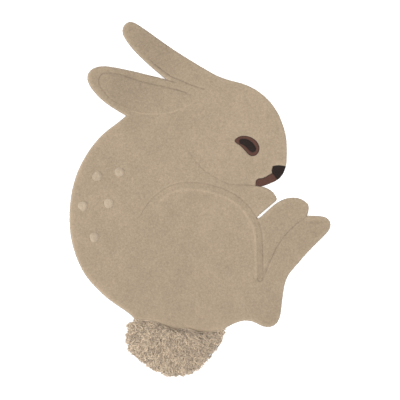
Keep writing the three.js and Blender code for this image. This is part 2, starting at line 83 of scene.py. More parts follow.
# How the pile rounds over at the open rim of the rug, and at a seam between two yarns; towards the open rim
# the pile is also painted paler, as painted light
RIM_ROUND = {"width": 6 * MM, "drop": 5 * MM}
RIM_SLOPE = {"width": 17 * MM, "drop": 1.3 * MM, "curve": 1.6, "paler": 0.125}
SEAM_ROUND = {"width": 2.6 * MM, "drop": 2.4 * MM}
SEAM_REACH = 1.2 * MM
SEAM_EVENING = 3
RIM_ROWS = (1.1 * MM, 2.6 * MM, 4.6 * MM)
WALL_ROWS = 3
WALL_INSET = 0.5 * MM
WALL_UNEVEN = (-0.25 * MM, 0.35 * MM)

# Carved lines: half the width of the cut, the share of its depth that the pile leaves open when it closes
# over it again, the painted shade in the cut, and the wider slope that the clipper leaves
CUT_HALF = 2.7 * MM
CUT_OPEN = 0.42
CUT_DARK = 0.4
CUT_CURVE = 1.4
CUT_SLOPE = {"width": 10 * MM, "depth": 0.9 * MM}
VALLEY_FOLD = math.radians(60)
SHOULDER_FOLD = math.radians(25)
SHORTEST_LINE = 20 * MM

# How firmly some of the carved lines show from one end to the other, with their painted shade, and the
# painted highlight on the pile beside them, towards one side
LINE_LOOKS = {
    "inner ear, upper side": {"from": (-14.5 * MM, 346.5 * MM), "firm": (2.6, 1.1, 1.0, 1.0, 1.0)},
    "inner ear, lower side": {
        "from": (-14.5 * MM, 338 * MM),
        "firm": (0.3, 0.05, 0.15, 0.5, 0.7),
        "paler": (0.12, 0.15, 0.13, 0.06, 0),
        "towards": (0.3, -1),
    },
    "jaw": {"from": (188 * MM, 47 * MM), "firm": (1.3, 0.9, 0.5, 0.45, 0.6, 1.2)},
    "between the feet": {"from": (360.5 * MM, -55.5 * MM), "firm": (0.7, 1.0, 1.0, 0.8, 1.2)},
    "haunch": {
        "from": (-206.5 * MM, -74 * MM),
        "firm": (6, 1.0, 0.5, 0.8, 1.0, 1.2, 1.2, 1.0, 1.3, 0.9),
        "paler": (0, 0.08, 0.1, 0.05, 0, 0, 0, 0, 0, 0),
        "towards": (-0.7, 0.7),
    },
    "end of the channel": {"from": (211.5 * MM, -268 * MM), "firm": (1.2, 1.7, 1.4, 0, 0)},
}
LINE_END_REACH = 4 * MM
PALE_BESIDE = {"away": 4.2 * MM, "width": 2.6 * MM}

# Two faint creases that set the toes apart, with painted shade in them
TOE_CREASES = [
    [(357 * MM, -76 * MM), (393 * MM, -78 * MM), (427 * MM, -76 * MM)],
    [(383 * MM, -100 * MM), (391 * MM, -115 * MM), (395 * MM, -129 * MM)],
]
CREASE = {"width": 4 * MM, "depth": MM, "dark": 0.25}

# The channel round the haunch: how softly it comes up at the haunch side, and at its ends, the low ridge on
# its shoulder with its painted highlight, and the painted shade where it runs down the shin
CHANNEL_OPEN = 0.7
CHANNEL_SHOULDER = 7 * MM
CHANNEL_RIDGE = {"beyond": 8 * MM, "width": 4.5 * MM, "height": 0.5 * MM, "paler": 0.14}
CHANNEL_END = 6 * MM
CHANNEL_DARK = 0.1

# Wide areas of the rug that are paler or darker
AREA_TONES = {
    "head": {"x": 140 * MM, "y": 230 * MM, "across": 150 * MM, "paler": 0.07},
    "upper ear": {"x": -150 * MM, "y": 520 * MM, "across": 120 * MM, "paler": -0.12},
    "lower ear": {"x": -250 * MM, "y": 375 * MM, "across": 110 * MM, "paler": -0.12},
    "feet": {"x": 330 * MM, "y": -110 * MM, "across": 110 * MM, "paler": -0.05},
    "heel": {"x": 250 * MM, "y": -370 * MM, "across": 80 * MM, "paler": -0.08},
    "rump": {"x": -170 * MM, "y": -270 * MM, "across": 120 * MM, "paler": -0.035},
}

# Raised dots
DOT_TUFT = 0.8 * TUFT
DOT_SIDE = 11 * MM
DOT_DIP = {"width": 4 * MM, "depth": 0.9 * MM}
DOT_LIP = 0.3 * MM
DOT_OPEN = 0.45
DOT_PALER = 0.09
DOT_UNEVEN = 0.07

# Painted shade along the edges of the coloured yarns, where they meet the yarn round them
YARN_EDGE = {"width": 2.6 * MM, "dark": 0.55}

# The backing cloth: how finely its rim is drawn, how far it stays under the pile, and how
# its rim turns under
BACKING_STEP = 2 * TUFT
BACKING_UNDER = 0.4 * MM
BACKING_TURN = 0.3 * MM

# Yarn ends that stand out along the rim, in levels one above the other. Each starts behind
# the rim, leans out of it, and goes a little astray
EDGE_TUFT = {
    "apart": 1.8 * MM, "radius": 0.75 * MM, "taper": (1.0, 1.0, 0.55), "sides": 4,
    "reach": 2.4 * MM, "length": (0.6, 1.15), "path": (-0.6, 0.1, 0.62), "behind": 0.4 * MM,
    "rise": 0.5, "astray": 0.35,
    "levels": (0.35, 0.62, 0.85), "uneven": 0.1, "below": 3.5 * MM,
}

# Strands of the shag tail: their size, and their radius at some shares of their length
STRAND_COUNT = 5600
STRAND_PARTS = 4
STRAND_SIDES = 4
STRAND_STEPS = 11
STRAND_LENGTH = (18 * MM, 33 * MM)
STRAND_RADIUS = 1.15 * MM
STRAND_THICKNESS = (0.8, 1.15)
STRAND_TAPER = {"shares": (0, 0.15, 0.8, 1), "radii": (0.9, 1, 0.95, 0.45)}
YARN_TIP = 0.8

# How the strands lie, seen from above: evenly scattered, turning together in slow swirls
# and each a little its own way, bent and wavy
STRAND_APART = 2.6 * MM
STRAND_JITTER = 1.2 * MM
STRAND_HEADING = {"across": 34 * MM, "salt": 2.0, "together": 1.0, "own": 0.65}
STRAND_BEND = {"across": 22 * MM, "salt": 5.0, "together": 0.9, "own": 0.45}
STRAND_STRIDE = 0.9
STRAND_WAVE = (0.5 * MM, 1.2 * MM)
STRAND_CRIMP = 12

# How the strands lie, seen from the side: arched over the bed, in layers, rooted below it
STRAND_REST = 0.86
STRAND_ARCH = {"height": (2 * MM, 9 * MM), "curve": 0.8}
STRAND_LAYER = (-3 * MM, 4 * MM)
STRAND_ROOT = 5 * MM
STRAND_FLOOR = 0.2 * MM

# How far the strands go past the tail's rim, and how they keep clear of the short pile
STRAND_STRAY = 4.2 * MM
STRAND_FRINGE = 3 * MM
STRAND_DROOP = 3 * MM
STRAND_OVERLAP = 5 * MM
STRAND_CLEAR = 1.5
SEAM_CLEAR = 0.5 * MM

# The bed under the strands, banked up at the seam, and how its marks change towards the seam: away from it
# the bed is painted dark, as painted shade in the gaps between the strands
SEAM_BANK = {"below": 1.5 * MM, "fall": 0.5, "hold": 7 * MM, "pale": 9 * MM}
TAIL_BED = {"level": 5 * MM, "evening": 12, "tuft": 2 * TUFT, "share": 0.85, "below": 4 * MM}
TAIL_BED_MARKS = {"along": (0.1, 0.8), "shade": (0.1, 0.5)}

# The parts of the face, and the yarn of each one
FACE = {"eye_rim": "brown_wool", "eye_middle": "black_wool", "nose": "black_wool", "mouth": "brown_wool"}

# The yarns' colours as they look on a screen, from 0 to 255, and how much they sheen
# Each yarn's crevice colour is painted shade, mixed in where shade falls in cuts, creases and seams
SAND = {"tips": (152, 135, 114), "sides": (170, 155, 136), "crevice_shade": (112, 96, 79), "sheen": 0.15}
BROWN = {"tips": (82, 55, 46), "sides": (100, 74, 62), "crevice_shade": (26, 18, 16), "sheen": 0.08}
BLACK = {"tips": (35, 27, 24), "sides": (54, 42, 38), "crevice_shade": (26, 18, 16), "sheen": 0.06}
# The shag's root colour is painted shade, darkening each strand towards its root, deep in the shag
SHAG = {"tip": (202, 183, 159), "root": (99, 79, 58), "sheen": 0.25}
SRGB = {"toe": 0.04045, "slope": 12.92, "offset": 0.055, "power": 2.4}

# What makes the cut pile's tone uneven, and how its tufts and fibres stand out
PILE_TONE = {"level": 0.565, "own": 0.17, "fibre": 0.08, "edge": 0.1}
PILE_TONE_CLOUDS = [
    {"across": 120 * MM, "detail": 2.0, "weight": 0.16},
    {"across": 32 * MM, "detail": 1.0, "weight": 0.13},
    {"across": 8 * MM, "detail": 3.0, "weight": 0.34},
]
PILE_BUMP = {"own": 0.5, "fibre": 0.5, "edge": 0.9}
PILE_FIBRE = 0.9 * MM
SHAG_TONE = {"level": 0.4, "own": 0.76, "fibre": 0.42, "fade": 0.6}
SHAG_FIBRE = 2 * MM
BACKING_WEAVE = 1.5 * MM
BACKING_THREAD = (0.5, 0.5, 0.5, 1.0)

# Wool scatters light softly and hardly shines
WOOL = {"Roughness": 0.95, "Specular IOR Level": 0.15, "Sheen Roughness": 0.6}
BUMP_STRENGTH = 0.35

# A Mix node keeps sockets for every kind of value, so its colour ones go by their place
MIX_SHARE, MIX_FIRST, MIX_SECOND, MIX_COLOUR = 0, 6, 7, 2

# A plain pale floor that glows a little, so that it stays white in narrow gaps
FLOOR_SIZE = 9.0
WHITE = (1.0, 1.0, 1.0, 1.0)
FLOOR = {
    "Base Color": (0.92, 0.92, 0.92, 1.0),
    "Roughness": 0.9,
    "Specular IOR Level": 0.1,
    "Emission Color": WHITE,
    "Emission Strength": 0.42,
}

# Soft light from the left, a weaker one from the right, and a broad fill from above
WORLD_LIGHT = 0.71
SOFTBOXES = {
    "left softbox": {"place": (-6.6, -2.2, 4.2), "size": 2.4, "power": 462},
    "right softbox": {"place": (6.6, -1.4, 4.0), "size": 2.4, "power": 100},
    "overhead softbox": {"place": (0.9, 0.8, 5.5), "size": 3.0, "power": 118},
}

# The camera looks straight down. The photograph is as wide as this at the rug
PHOTO_WIDTH = 1.348
PHOTO_MIDDLE = (0.1 * MM, -2.1 * MM)
LENS = 85
SENSOR = 36
VIEW_DEPTH = 50


def cad_mesh(name):
    """A frame piece's corners, welded, and its triangles."""
    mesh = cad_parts[name].data
    corners = np.empty(3 * len(mesh.vertices))
    mesh.vertices.foreach_get("co", corners)
    loops = np.empty(len(mesh.loops), dtype=np.int32)
    mesh.loops.foreach_get("vertex_index", loops)
    steps = np.round(corners.reshape(-1, 3) / WELD).astype(np.int64)
    places, back = np.unique(steps, axis=0, return_inverse=True)
    return places * WELD, back.reshape(-1)[loops].reshape(-1, 3)


def without_straight_points(loop):
    """An outline without the points that lie on the line between their neighbours."""
    points = list(loop)
    changed = True
    while changed:
        changed = False
        kept = []
        for i, point in enumerate(points):
            before = kept[-1] if kept else points[-1]
            after = points[(i + 1) % len(points)]
            along = after - before
            span = np.hypot(*along)
            offset = abs(along[0] * (point - before)[1] - along[1] * (point - before)[0])
            if span > 0 and offset / span < STRAIGHT_WITHIN:
                changed = True
            else:
                kept.append(point)
        points = kept
    return np.array(points)


def outlines_at(name, height):
    """Where a level plane cuts a frame piece: outer outlines anticlockwise, holes clockwise."""
    corners, triangles = cad_mesh(name)
    above = corners[:, 2] > height
    crossing = triangles[above[triangles].sum(axis=1) % 3 > 0]
    step_to = {}
    for triangle in crossing:
        for a, b in zip(triangle, np.roll(triangle, -1)):
            if above[a] and not above[b]:
                falling = (min(a, b), max(a, b))
            if above[b] and not above[a]:
                rising = (min(a, b), max(a, b))
        step_to[falling] = rising
    loops = []
    while step_to:
        start, here = step_to.popitem()
        keys = [start]
        while here != start:
            keys.append(here)
            here = step_to.pop(here)
        ends = corners[np.array(keys)]
        share = (height - ends[:, 0, 2]) / (ends[:, 1, 2] - ends[:, 0, 2])
        places = ends[:, 0, :2] + share[:, None] * (ends[:, 1, :2] - ends[:, 0, :2])
        loops.append(without_straight_points(places))
    return sorted(loops, key=lambda loop: -len(loop))


def curve_through(points, spacing, closed):
    """Even steps along a smooth curve through some points, with its sharp corners kept."""
    count = len(points)
    ahead = np.roll(points, -1, axis=0) - points
    behind = np.roll(ahead, 1, axis=0)
    if not closed:
        behind[0] = ahead[0]
        ahead[-1] = behind[-1]
    flat_ahead = np.linalg.norm(ahead[:, :2], axis=1)[:, None]
    flat_behind = np.linalg.norm(behind[:, :2], axis=1)[:, None]
    turn = ((ahead / flat_ahead)[:, :2] * (behind / flat_behind)[:, :2]).sum(axis=1)
    smooth = (turn > math.cos(SHARP_CORNER))[:, None]
    mixed = ahead / flat_ahead * flat_behind + behind / flat_behind * flat_ahead
    mixed /= np.linalg.norm(mixed[:, :2], axis=1)[:, None]
    leave = np.where(smooth, mixed, ahead / flat_ahead)
    arrive = np.where(smooth, mixed, behind / flat_behind)
    curve = []
    for i in range(count if closed else count - 1):
        j = (i + 1) % count
        chord = float(flat_ahead[i, 0])
        steps = max(1, round(chord / spacing))
        t = (np.arange(steps) / steps)[:, None]
        curve.append(
            (2 * t**3 - 3 * t**2 + 1) * points[i]
            + (t**3 - 2 * t**2 + t) * chord * leave[i]
            + (3 * t**2 - 2 * t**3) * points[j]
            + (t**3 - t**2) * chord * arrive[j]
        )
    if not closed:
        curve.append(points[-1:])
    return np.concatenate(curve)


def unit(vectors):
    """Vectors made one long."""
    return vectors / np.maximum(np.linalg.norm(vectors, axis=-1, keepdims=True), TINY)


def area_normals(corners, faces):
    """The normals of triangles, as long as twice each one's area."""
    first, second, third = (corners[faces[:, k]] for k in range(3))
    return np.cross(second - first, third - first)


def folds(name):
    """The concave edges between faces that look up, with how sharply each is folded."""
    corners, triangles = cad_mesh(name)
    normals = area_normals(corners, triangles)
    normals /= np.linalg.norm(normals, axis=1)[:, None]
    sides = {}
    for face, triangle in enumerate(triangles):
        for k in range(3):
            edge = tuple(sorted((triangle[k], triangle[(k + 1) % 3])))
            sides.setdefault(edge, []).append((face, triangle[(k + 2) % 3]))
    found = []
    for edge, ((one, _), (two, far)) in sides.items():
        rises = np.dot(corners[far] - corners[edge[0]], normals[one])
        looks_up = min(normals[one][2], normals[two][2]) > LOOKS_UP
        if looks_up and rises > WELD:
            found.append((edge, math.acos(min(1.0, np.dot(normals[one], normals[two])))))
    return corners, found


def chained(edges):
    """Edges joined end to end into lines."""
    beside = {}
    for a, b in edges:
        beside.setdefault(a, set()).add(b)
        beside.setdefault(b, set()).add(a)
    lines = []
    ends = [corner for corner, others in beside.items() if len(others) != 2]
    for start in ends:
        while beside[start]:
            line = [start]
            while beside[line[-1]] and (len(line) == 1 or len(beside[line[-1]]) == 1):
                here = line[-1]
                following = beside[here].pop()
                beside[following].discard(here)
                line.append(following)
            lines.append(line)
    return lines


def fold_lines(name, gentlest, sharpest):
    """Lines along the folds of a frame piece, longest first."""
    corners, found = folds(name)
    lines = [corners[line] for line in chained([e for e, f in found if gentlest < f <= sharpest])]
    lengths = [np.linalg.norm(np.diff(line, axis=0), axis=1).sum() for line in lines]
    return [line for length, line in sorted(zip(lengths, lines), key=lambda pair: -pair[0])
            if length > SHORTEST_LINE]


def nearest(samples, places):
    """How far each place is from the nearest sample, and which sample that is."""
    tree = KDTree(len(samples))
    for index, sample in enumerate(samples):
        tree.insert((sample[0], sample[1], 0.0), index)
    tree.balance()
    found = [tree.find((place[0], place[1], 0.0)) for place in places]
    return np.array([hit[2] for hit in found]), np.array([hit[1] for hit in found])


def inside(places, loops):
    """Which places lie inside outlines and outside their holes."""
    within = np.zeros(len(places), dtype=bool)
    x, y = places[:, 0], places[:, 1]
    for loop in loops:
        for (ax, ay), (bx, by) in zip(loop, np.roll(loop, -1, axis=0)):
            if ay == by:
                continue
            spans = (y >= min(ay, by)) & (y < max(ay, by))
            within[spans] ^= x[spans] < ax + (y[spans] - ay) * (bx - ax) / (by - ay)
    return within


def left_of(line, closed):
    """The directions to the left of a line at its points."""
    if closed:
        along = np.roll(line, -1, axis=0) - np.roll(line, 1, axis=0)
    else:
        along = np.gradient(line, axis=0)
    along = unit(along[:, :2])
    return np.stack([-along[:, 1], along[:, 0]], axis=1)


def row_beside(line, distance, closed):
    """Points to the left of a line, without those that crowd another stretch of it."""
    row = line[:, :2] + distance * left_of(line, closed)
    away, _ = nearest(line, row)
    return row[away > TUFT_ROOM["rim"] * abs(distance)]


def thinned(points, room):
    """Points without those closer than some room to one before them."""
    cells = {}
    kept = []
    for point in points:
        column, row = int(point[0] // room), int(point[1] // room)
        near = [
            cells[c, r]
            for c in (column - 1, column, column + 1)
            for r in (row - 1, row, row + 1)
            if (c, r) in cells
        ]
        if all(np.hypot(*(point - other)) >= room for other in near):
            cells[column, row] = point
            kept.append(point)
    return np.array(kept)


def even_grid(low, high, spacing, rng):
    """Points in staggered rows, each moved a little at random."""
    across = np.arange(low[0], high[0], spacing)
    up = np.arange(low[1], high[1], spacing * ROW_RISE)
    grid = np.stack(np.meshgrid(across, up), axis=-1)
    grid[1::2, :, 0] += spacing / 2
    grid = grid.reshape(-1, 2)
    return grid + rng.uniform(-TUFT_JITTER, TUFT_JITTER, grid.shape) * spacing


def triangulated(points, edges, loops):
    """Triangles between points inside outlines, and where each given point went."""
    made = delaunay_2d_cdt([Vector(p) for p in points.tolist()], edges, [], 0, WELD)
    corners = np.array([tuple(corner) for corner in made[0]])
    faces = np.array(made[2])
    faces = faces[inside(corners[faces].mean(axis=1), loops)]
    went = np.zeros(len(points), dtype=int)
    for new, olds in enumerate(made[3]):
        went[olds] = new
    return corners, faces, went


def ring_edges(loops):
    """The edges of closed outlines whose points are numbered on from one to the next."""
    edges = []
    for loop in loops:
        start = len(edges)
        edges += [(start + i, start + (i + 1) % len(loop)) for i in range(len(loop))]
    return edges


def flat_faces(loops):
    """Triangles that fill outlines, by the numbers of their points."""
    points = np.concatenate(loops)
    _, faces, went = triangulated(points, ring_edges(loops), loops)
    back = np.zeros(len(points), dtype=int)
    back[went] = np.arange(len(points))
    return back[faces]


def band(upper, lower):
    """Triangles between two rings with the same number of corners."""
    upper_after, lower_after = np.roll(upper, -1), np.roll(lower, -1)
    return np.concatenate([np.c_[upper, lower, upper_after], np.c_[upper_after, lower, lower_after]])


def tuft_field(loops, lines, spacing, rng):
    """The places of a pile's tufts: in rows along its rims and carved lines, and evenly
    scattered elsewhere. Gives the places, their triangles, and each rim's places in order."""
    edges = ring_edges(loops)
    fixed = list(loops)
    beside = [row_beside(loop, row, True) for loop in loops for row in RIM_ROWS]
    rims = np.concatenate(loops)
    count = len(rims)
    for line in lines:
        kept = line[inside(line, loops), :2]
        kept = kept[nearest(rims, kept)[0] > RIM_ROWS[0]]
        edges += [(count + i, count + i + 1) for i in range(len(kept) - 1)]
        count += len(kept)
        fixed.append(kept)
        for row in RIM_ROWS:
            beside += [row_beside(kept, row, False), row_beside(kept, -row, False)]
    rows = thinned(np.concatenate(beside), TUFT_ROOM["rows"] * spacing)
    rows = rows[inside(rows, loops)]
    rows = rows[nearest(np.concatenate(fixed), rows)[0] > TUFT_ROOM["rim"] * RIM_ROWS[0]]
    grid = even_grid(rims.min(axis=0), rims.max(axis=0), spacing, rng)
    grid = grid[inside(grid, loops)]
    grid = grid[nearest(np.concatenate([*fixed, rows]), grid)[0] > TUFT_ROOM["grid"] * spacing]
    points = np.concatenate([*fixed, rows, grid])
    corners, faces, went = triangulated(points, edges, loops)
    ends = np.cumsum([len(loop) for loop in loops])
    return corners, faces, [went[end - len(loop):end] for loop, end in zip(loops, ends)]


def pile_clouds(places):
    """The slow unevenness of a hand-sheared pile. Each cloud's height also picks its own
    slice of the noise."""
    rise = np.zeros(len(places))
    for cloud in PILE_CLOUDS:
        shrunk = np.c_[places[:, :2] / cloud["across"], np.full(len(places), cloud["height"] / MM)]
        rise += cloud["height"] * np.array([noise.noise(Vector(place)) for place in shrunk])
    return rise


def nap(places):
    """How much paler each place is, by the wide areas of the rug."""
    paler = np.zeros(len(places))
    for area in AREA_TONES.values():
        away = np.hypot(places[:, 0] - area["x"], places[:, 1] - area["y"])
        paler += area["paler"] * np.exp(-((away / area["across"]) ** 2))
    return paler


def rim_rounding(places, loops, neighbours):
    """How far the pile rounds down at each place: deep at the open rim, tight at a seam."""
    widths = []
    drops = []
    for loop in loops:
        openness = (nearest(neighbours, loop)[0] > SEAM_REACH).astype(float)
        for _ in range(SEAM_EVENING):
            openness = (np.roll(openness, 1) + openness + np.roll(openness, -1)) / 3
        for found, key in ((widths, "width"), (drops, "drop")):
            found.append(SEAM_ROUND[key] + (RIM_ROUND[key] - SEAM_ROUND[key]) * openness)
    away, which = nearest(np.concatenate(loops), places)
    share = np.clip(1 - away / np.concatenate(widths)[which], 0, 1)
    return np.concatenate(drops)[which] * (1 - np.sqrt(1 - share**2))


def smooth_step(share):
    """A share from 0 to 1 that starts and ends gently."""
    share = np.clip(share, 0, 1)
    return share * share * (3 - 2 * share)


def look_of(line):
    """How firmly a carved line shows at each of its points, how much painted highlight lies beside it, and
    on which side."""
    along = np.linspace(0, 1, len(line))
    for look in LINE_LOOKS.values():
        to_first, to_last = (np.hypot(*(line[end, :2] - look["from"])) for end in (0, -1))
        if min(to_first, to_last) < LINE_END_REACH:
            share = along if to_first < to_last else along[::-1]
            steps = np.linspace(0, 1, len(look["firm"]))
            firm = np.interp(share, steps, look["firm"])
            paler = np.interp(share, steps, look.get("paler", np.zeros(len(steps))))
            return firm, paler, look.get("towards", (0.0, 0.0))
    return np.ones(len(line)), np.zeros(len(line)), (0.0, 0.0)


def cut_depth(places, lines):
    """How deep the clipper's lines and the slope beside them are at each place, how much painted shade lies
    in them, and how much painted highlight beside them."""
    samples = np.concatenate(lines)
    away, which = nearest(samples, places)
    depth = np.clip(PILE_TOP - samples[which, 2], 0, None)
    fullness = depth / (PILE_TOP - samples[:, 2].min())
    looks = [look_of(line) for line in lines]
    firm = np.concatenate([look[0] for look in looks])[which]
    paler = np.concatenate([look[1] for look in looks])[which]
    towards = np.concatenate([np.tile(look[2], (len(line), 1)) for line, look in zip(lines, looks)])
    facing = np.sign(((places - samples[which, :2]) * towards[which]).sum(axis=1))
    beside = np.exp(-(((facing * away - PALE_BESIDE["away"]) / PALE_BESIDE["width"]) ** 2))
    inwards = np.clip(1 - away / CUT_HALF, 0, 1)
    cut = CUT_OPEN * firm * depth * inwards**CUT_CURVE
    slope = CUT_SLOPE["depth"] * firm * fullness * np.clip(1 - away / CUT_SLOPE["width"], 0, 1) ** 2
    dark = CUT_DARK * firm * fullness * inwards
    return cut, slope, dark, paler * beside


def crease_depth(places):
    """The faint creases between the toes: how deep, and how much painted shade lies in them."""
    deep = np.zeros(len(places))
    for points in TOE_CREASES:
        line = curve_through(np.array(points), MM, False)
        away, which = nearest(line, places)
        fading = np.sqrt(np.sin(math.pi * which / (len(line) - 1)))
        deep += fading * np.exp(-((away / CREASE["width"]) ** 2))
    return CREASE["depth"] * deep, CREASE["dark"] * deep


def channel_depth(places, deep_line, shoulder_line):
    """How deep the channel round the haunch is, between its deep line and its shoulder, how much painted
    shade lies in it where it runs down the shin, and how much painted highlight on its shoulder."""
    to_deep, _ = nearest(deep_line, places)
    to_shoulder, which = nearest(shoulder_line, places)
    width = np.median(nearest(deep_line, shoulder_line)[0])
    across = (to_deep**2 - to_shoulder**2 + width**2) / (2 * width)
    beyond = np.sqrt(np.clip(to_deep**2 - across**2, 0, None))
    floor = CHANNEL_OPEN * np.clip(PILE_TOP - shoulder_line[which, 2], 0, None)
    up = 1 - smooth_step((across - width) / CHANNEL_SHOULDER)
    past_shoulder = (across - width - CHANNEL_RIDGE["beyond"]) / CHANNEL_RIDGE["width"]
    fading = (1 - smooth_step(beyond / CHANNEL_END)) * np.sqrt(floor / floor.max())
    ridge = np.exp(-(past_shoulder**2)) * fading
    heading = np.gradient(shoulder_line[:, :2], axis=0)
    heading *= np.sign(shoulder_line[-1, 0] - shoulder_line[0, 0])
    downwards = np.clip(-heading[:, 1] / np.linalg.norm(heading, axis=1), 0, 1)[which]
    depth = floor * up * (across > 0) * fading - CHANNEL_RIDGE["height"] * ridge
    dark = CHANNEL_DARK * downwards * up * (across > 0) * fading
    return depth, dark, CHANNEL_RIDGE["paler"] * ridge


def corner_normals(corners, faces):
    """The direction in which a surface looks at each of its corners."""
    normals = np.zeros_like(corners)
    for k in range(3):
        np.add.at(normals, faces[:, k], area_normals(corners, faces))
    return unit(normals)


def walls_and_underside(corners, rims, loops, foot, rng):
    """Closes a pile below its top: walls of yarn from the rims down, and a flat underside."""
    new_corners = []
    new_faces = []
    count = len(corners)
    lowest = []
    for rim, loop in zip(rims, loops):
        above = rim
        inwards = left_of(loop, True)
        for row in range(1, WALL_ROWS + 1):
            share = row / WALL_ROWS
            out = rng.uniform(*WALL_UNEVEN, len(rim)) - WALL_INSET * share
            out = out if row < WALL_ROWS else np.full(len(rim), -WALL_INSET)
            height = corners[rim, 2] + (foot - corners[rim, 2]) * share
            new_corners.append(np.c_[loop[:, :2] - inwards * out[:, None], height])
            here = np.arange(count, count + len(rim))
            count += len(rim)
            new_faces.append(band(above, here))
            above = here
        lowest.append(above)
    everything = np.concatenate([corners, *new_corners])
    under = flat_faces([everything[ring, :2] for ring in lowest])
    new_faces.append(np.concatenate(lowest)[under][:, ::-1])
    return everything, np.concatenate(new_faces)


def add_mark(piece, mark, values):
    """Keeps a number at every corner of a piece, for its material to read."""
    layer = piece.data.attributes.new(mark, "FLOAT", "POINT")
    layer.data.foreach_set("value", np.asarray(values, dtype=np.float32))


def piece_from(name, corners, faces, **marks):
    """A smooth piece that rides on the rug. Each mark is a number kept at every corner."""
    mesh = bpy.data.meshes.new(name)
    mesh.vertices.add(len(corners))
    mesh.vertices.foreach_set("co", np.asarray(corners, dtype=np.float32).ravel())
    mesh.loops.add(faces.size)
    mesh.loops.foreach_set("vertex_index", faces.astype(np.int32).ravel())
    mesh.polygons.add(len(faces))
    sides = faces.shape[1]
    mesh.polygons.foreach_set("loop_start", np.arange(0, faces.size, sides, dtype=np.int32))
    mesh.polygons.foreach_set("use_smooth", np.ones(len(faces), dtype=bool))
    mesh.update(calc_edges=True)
    mesh.validate()
    piece = bpy.data.objects.new(name, mesh)
    for mark, values in marks.items():
        add_mark(piece, mark, values)
    bpy.context.scene.collection.objects.link(piece)
    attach(piece, "root")
    return piece


def pile_piece(name, loops, lines, height_at, rng, spacing=TUFT, open_pile=0.0):
    """A closed piece of cut pile. Its marks say how much of the yarn's sides shows, how much painted shade
    lies on each place, and how much paler each place is, by area and by painted light. An open pile shows
    more sides."""
    places, faces, rims = tuft_field(loops, lines, spacing, rng)
    heights, buried, paler = height_at(places)
    top = np.c_[places, heights]
    leaning = 1 - corner_normals(top, faces)[:, 2]
    on_rim = np.zeros(len(top), dtype=bool)
    on_rim[np.concatenate(rims)] = True
    top[:, 2] += np.where(on_rim, 0, rng.normal(0, TUFT_UNEVEN, len(top)))
    corners, more = walls_and_underside(top, rims, loops, PILE_FOOT, rng)
    wall = len(corners) - len(top)
    leaning = open_pile + (1 - open_pile) * leaning
    return piece_from(
        name,
        corners,
        np.concatenate([faces, more]),
        leaning=np.r_[leaning, np.ones(wall)],
        buried=np.r_[buried, np.zeros(wall)],
        nap=nap(corners) + np.r_[paler, np.zeros(wall)],
    )


# The curves of every pile piece, resampled from the frame
pile_nodes = ["pile_ground", *FACE]
dot_nodes = sorted(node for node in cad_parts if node.startswith("back_dot"))
curves = {
    node: [curve_through(loop, TUFT, True) for loop in outlines_at(node, OUTLINE_LEVEL)]
    for node in [*pile_nodes, *dot_nodes, "tail"]
}
soft_folds = fold_lines("pile_ground", SHOULDER_FOLD, VALLEY_FOLD)
sharp_folds = fold_lines("pile_ground", VALLEY_FOLD, math.pi)
haunch_shoulder = curve_through(soft_folds[0], MM, False)
haunch_line = curve_through(sharp_folds[0], MM, False)
carved = [curve_through(line, MM, False) for line in sharp_folds]
carved_rows = [curve_through(line, TUFT, False) for line in sharp_folds + soft_folds[:1]]


def neighbours_of(node):
    """The outlines of the other yarns that a pile piece may meet."""
    others = [loop for other in [*pile_nodes, "tail"] if other != node for loop in curves[other]]
    dots = [loop for other in dot_nodes for loop in curves[other]] if node == "pile_ground" else []
    return np.concatenate(others + dots)


def ground_height(places):
    """The sand pile: level but for its clouds, carved lines, channel, creases and rims. Right
    round a dot it stays level."""
    cut, slope, cut_dark, beside = cut_depth(places, carved)
    channel, channel_dark, shoulder = channel_depth(places, haunch_line, haunch_shoulder)
    crease, crease_dark = crease_depth(places)
    dots = np.concatenate([loop for node in dot_nodes for loop in curves[node]])
    rims = [loop for loop in curves["pile_ground"] if nearest(dots, loop)[0].min() > SEAM_REACH]
    rounding = rim_rounding(places, rims, neighbours_of("pile_ground"))
    from_rim, _ = nearest(rims[0], places)
    rolling = np.clip(1 - from_rim / RIM_SLOPE["width"], 0, 1)
    rounding += RIM_SLOPE["drop"] * rolling ** RIM_SLOPE["curve"]
    down = np.where(cut > channel, cut, channel) + slope + crease + rounding
    heights = np.maximum(PILE_TOP + pile_clouds(places) - down, BACKING_TOP + THINNEST_PILE)
    # Painted shade in the cuts, the channel and the creases; painted light beside some carved lines, on the
    # channel's shoulder and towards the open rim
    dark = np.maximum(cut_dark, channel_dark) + crease_dark
    return heights, dark, beside + shoulder + RIM_SLOPE["paler"] * rolling


def sand_pile(rng):
    """The rug's ground."""
    loops = curves["pile_ground"]
    piece = pile_piece("sand_pile", loops, carved_rows, ground_height, rng)
    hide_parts("pile_ground")
    return piece


def coloured_pile(node, rng):
    """A part of the face in another yarn, set into the sand pile."""
    def height_at(places):
        rounding = rim_rounding(places, curves[node], neighbours_of(node))
        from_edge, _ = nearest(np.concatenate(curves[node]), places)
        # Painted shade along the yarn's edge
        dark = YARN_EDGE["dark"] * np.clip(1 - from_edge / YARN_EDGE["width"], 0, 1)
        return PILE_TOP + pile_clouds(places) - rounding, dark, np.zeros(len(places))

    piece = pile_piece(f"{node}_pile", curves[node], [], height_at, rng)
    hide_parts(node)
    return piece


